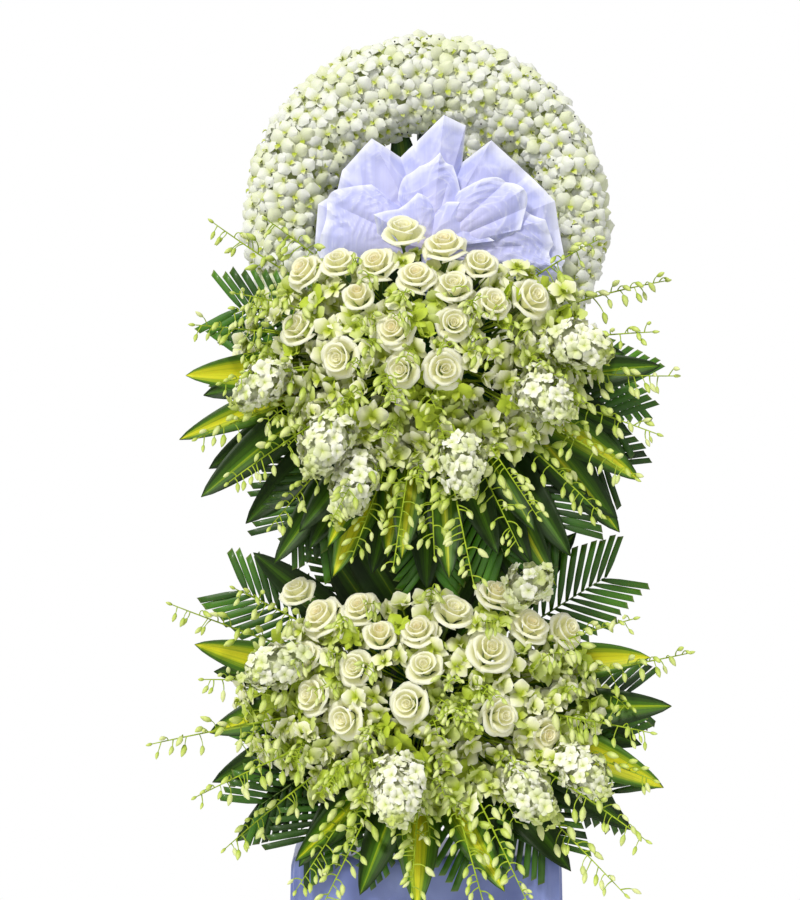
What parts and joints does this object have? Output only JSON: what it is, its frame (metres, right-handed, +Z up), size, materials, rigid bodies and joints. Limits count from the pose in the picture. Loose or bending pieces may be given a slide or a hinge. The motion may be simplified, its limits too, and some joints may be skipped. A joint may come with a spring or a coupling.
{
  "type": "funeral flower stand",
  "caption": "Standing funeral flower arrangement: a ring of white orchids with a gathered bow above tiers of roses, orchid sprays, striped leaves and palm fronds on a wrapped plinth",
  "frame": {"origin": "middle of the plinth's underside, at floor level", "axes": "+X to the viewer's right, +Y away from the viewer to the back of the stand, +Z up"},
  "size_m": [0.9523, 0.6522, 1.7485],
  "materials": {
    "orchid_white": "soft waxy white petals, green at the throat",
    "rose_cream": "velvety cream-white petals",
    "bud_green": "smooth yellow-green buds and stems, with white open flowers",
    "palm_green": "satin dark green leaflets with trimmed ends",
    "leaf_striped": "satin green leaves with yellow stripes",
    "bow_organza": "sheer white organza with a lilac cast",
    "plinth_wrap": "glossy pale lilac satin",
    "floral_foam": "matt green floral foam",
    "plinth_timber": "plain board, hidden under the wrap",
    "stand_steel": "dark green paint"
  },
  "bodies": {
    "root": {"plinth": "plinth_timber", "plinth_wrap": "plinth_wrap", "post": "stand_steel", "ring_orchids": "orchid_white", "ring_foam": "floral_foam", "ring_backing_leaves": "leaf_striped", "bow": "bow_organza", "bow_wire": "stand_steel", "upper_cradle": "stand_steel", "upper_foam": "floral_foam", "upper_palm_1": "palm_green", "upper_palm_2": "palm_green", "upper_palm_3": "palm_green", "upper_palm_4": "palm_green", "upper_palm_5": "palm_green", "upper_palm_6": "palm_green", "upper_leaves_1": "leaf_striped", "upper_leaves_2": "leaf_striped", "upper_leaves_3": "leaf_striped", "upper_leaves_4": "leaf_striped", "upper_spray_1": "bud_green", "upper_spray_2": "bud_green", "upper_spray_3": "bud_green", "upper_spray_4": "bud_green", "upper_spray_5": "bud_green", "upper_spray_6": "bud_green", "upper_spray_7": "bud_green", "upper_spray_8": "bud_green", "upper_floret_head_1": "orchid_white", "upper_floret_head_2": "orchid_white", "upper_roses_1": "rose_cream", "upper_roses_2": "rose_cream", "upper_roses_3": "rose_cream", "lower_cradle": "stand_steel", "lower_foam": "floral_foam", "lower_palm_1": "palm_green", "lower_palm_2": "palm_green", "lower_palm_3": "palm_green", "lower_palm_4": "palm_green", "lower_palm_5": "palm_green", "lower_palm_6": "palm_green", "lower_palm_7": "palm_green", "lower_palm_8": "palm_green", "lower_leaves_1": "leaf_striped", "lower_leaves_2": "leaf_striped", "lower_leaves_3": "leaf_striped", "lower_leaves_4": "leaf_striped", "lower_spray_1": "bud_green", "lower_spray_2": "bud_green", "lower_spray_3": "bud_green", "lower_spray_4": "bud_green", "lower_spray_5": "bud_green", "lower_spray_6": "bud_green", "lower_spray_7": "bud_green", "lower_spray_8": "bud_green", "lower_floret_head_1": "orchid_white", "lower_floret_head_2": "orchid_white", "lower_roses_1": "rose_cream", "lower_roses_2": "rose_cream", "lower_roses_3": "rose_cream"}
  },
  "joints": []
}
